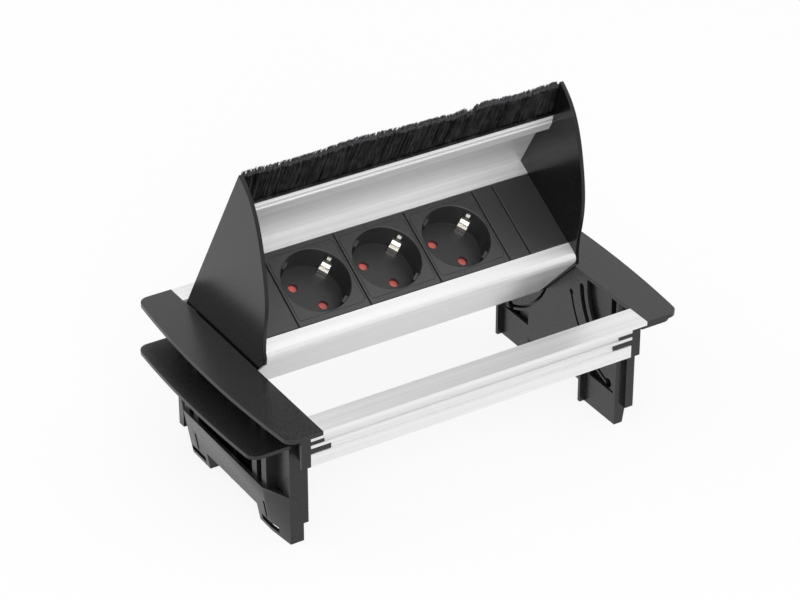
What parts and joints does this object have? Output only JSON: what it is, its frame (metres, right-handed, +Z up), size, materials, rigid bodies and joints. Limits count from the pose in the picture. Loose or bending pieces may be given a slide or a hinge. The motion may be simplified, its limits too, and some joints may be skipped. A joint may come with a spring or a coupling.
{
  "type": "in-desk power socket",
  "caption": "Desk-mounted flip-up power socket: clamped frame with end brackets and rails, tilting unit with earthed outlets, aluminium lid and brush strip.",
  "frame": {"origin": "centre of the overall box on the plane of the feet", "axes": "+X along the unit to its right end, +Y to the back of the desk, +Z up"},
  "size_m": [0.2744, 0.1666, 0.1926],
  "materials": {
    "bracket_black": "fine texture",
    "socket_black": "satin",
    "cover_black": "satin",
    "anodised": "satin anodised",
    "bristle": "nylon bristle",
    "shutter_red": "moulded",
    "clip_nickel": "nickel plated",
    "sleeve_brass": "turned",
    "screw_steel": "zinc plated",
    "bushing_rubber": "soft",
    "insulator": "moulded"
  },
  "bodies": {
    "frame": {"end_bracket_right": "bracket_black", "end_bracket_left": "bracket_black", "front_rail": "anodised", "rear_rail": "anodised", "rail_keys": "bracket_black"},
    "flip_unit": {"cheek_right": "cover_black", "cheek_left": "cover_black", "guide_pins_right": "screw_steel", "guide_pins_left": "screw_steel", "lid_profile": "anodised", "nose_profile": "anodised", "brush_holder": "bristle", "brush_bristles": "bristle", "panel_frame": "socket_black", "filler_left": "socket_black", "blank_strip": "socket_black", "filler_right": "socket_black", "back_cover": "cover_black", "cable_bushing": "bushing_rubber", "socket_module_1": "socket_black", "earth_clips_1": "clip_nickel", "contact_carrier_1": "insulator", "contact_sleeves_1": "sleeve_brass", "socket_module_2": "socket_black", "earth_clips_2": "clip_nickel", "contact_carrier_2": "insulator", "contact_sleeves_2": "sleeve_brass", "socket_module_3": "socket_black", "earth_clips_3": "clip_nickel", "contact_carrier_3": "insulator", "contact_sleeves_3": "sleeve_brass"},
    "clamp_jaw_right": {"clamp_plate_right": "bracket_black"},
    "clamp_jaw_left": {"clamp_plate_left": "bracket_black"},
    "screw_right": {"clamp_screw_right": "screw_steel"},
    "screw_left": {"clamp_screw_left": "screw_steel"},
    "safety_disc_1": {"shutter_1": "shutter_red"},
    "safety_disc_2": {"shutter_2": "shutter_red"},
    "safety_disc_3": {"shutter_3": "shutter_red"}
  },
  "joints": [
    {"name": "flip_hinge", "type": "hinge", "parent": "frame", "child": "flip_unit", "pos_m": [0, 0.0643, 0.0774], "axis": [1, 0, 0], "range_deg": [0, 59.5]},
    {"name": "safety_disc_turn_1", "type": "hinge", "parent": "flip_unit", "child": "safety_disc_1", "pos_m": [-0.0519, 0.01979, 0.09296], "axis": [0, 0.5075, -0.8616], "range_deg": [0, 36], "stiffness_Nm_per_rad": 0.002},
    {"name": "safety_disc_turn_2", "type": "hinge", "parent": "flip_unit", "child": "safety_disc_2", "pos_m": [-0.0069, 0.01979, 0.09296], "axis": [0, 0.5075, -0.8616], "range_deg": [0, 36], "stiffness_Nm_per_rad": 0.002},
    {"name": "safety_disc_turn_3", "type": "hinge", "parent": "flip_unit", "child": "safety_disc_3", "pos_m": [0.0381, 0.01979, 0.09296], "axis": [0, 0.5075, -0.8616], "range_deg": [0, 36], "stiffness_Nm_per_rad": 0.002},
    {"name": "clamp_jaw_right_slide", "type": "slide", "parent": "frame", "child": "clamp_jaw_right", "axis": [0, 0, 1], "range_m": [-0.026, 0.01]},
    {"name": "clamp_screw_right_turn", "type": "hinge", "parent": "frame", "child": "screw_right", "pos_m": [0.10995, 0, 0.04], "axis": [0, 0, 1], "range_deg": [-4698, 1822]},
    {"name": "clamp_jaw_left_slide", "type": "slide", "parent": "frame", "child": "clamp_jaw_left", "axis": [0, 0, 1], "range_m": [-0.026, 0.01]},
    {"name": "clamp_screw_left_turn", "type": "hinge", "parent": "frame", "child": "screw_left", "pos_m": [-0.10995, 0, 0.04], "axis": [0, 0, 1], "range_deg": [-4698, 1822]}
  ],
  "couplings": [
    {"joint": "clamp_screw_right_turn", "follows": "clamp_jaw_right_slide", "rad_per_m": 3141.6},
    {"joint": "clamp_screw_left_turn", "follows": "clamp_jaw_left_slide", "rad_per_m": 3141.6}
  ]
}
